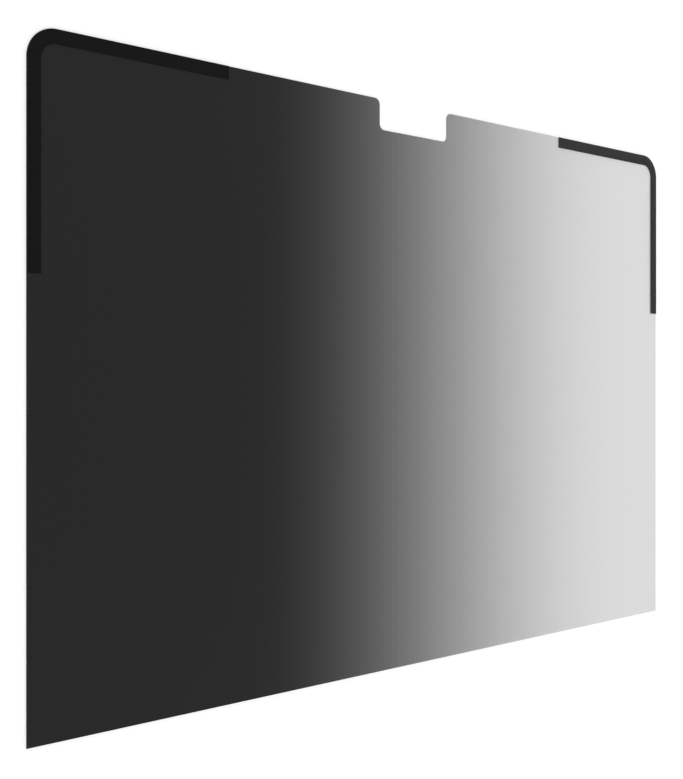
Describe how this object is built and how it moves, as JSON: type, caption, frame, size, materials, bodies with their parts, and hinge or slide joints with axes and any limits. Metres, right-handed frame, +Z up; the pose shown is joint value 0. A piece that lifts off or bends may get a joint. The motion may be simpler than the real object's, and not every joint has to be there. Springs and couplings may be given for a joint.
{
  "type": "laptop privacy filter",
  "caption": "Flat louvre film sheet that narrows a laptop screen's viewing angle, with a camera notch in its upper edge and black L-shaped fixing strips at its upper corners.",
  "frame": {"origin": "on the surface that the filter lies on, under the middle of the sheet's outline", "axes": "+X along the sheet's width, to the right as seen from above; +Y towards the notched edge; +Z up, out of the face that carries the strips"},
  "size_m": [0.308, 0.2034, 0.0008],
  "materials": {
    "louvre_film": "satin anti-glare film with fine upright louvres, dark on the left and clearing to pale grey on the right",
    "corner_strip": "matt black flexible strip"
  },
  "bodies": {
    "root": {"privacy_sheet": "louvre_film", "left_corner_strip": "corner_strip", "right_corner_strip": "corner_strip"}
  },
  "joints": []
}
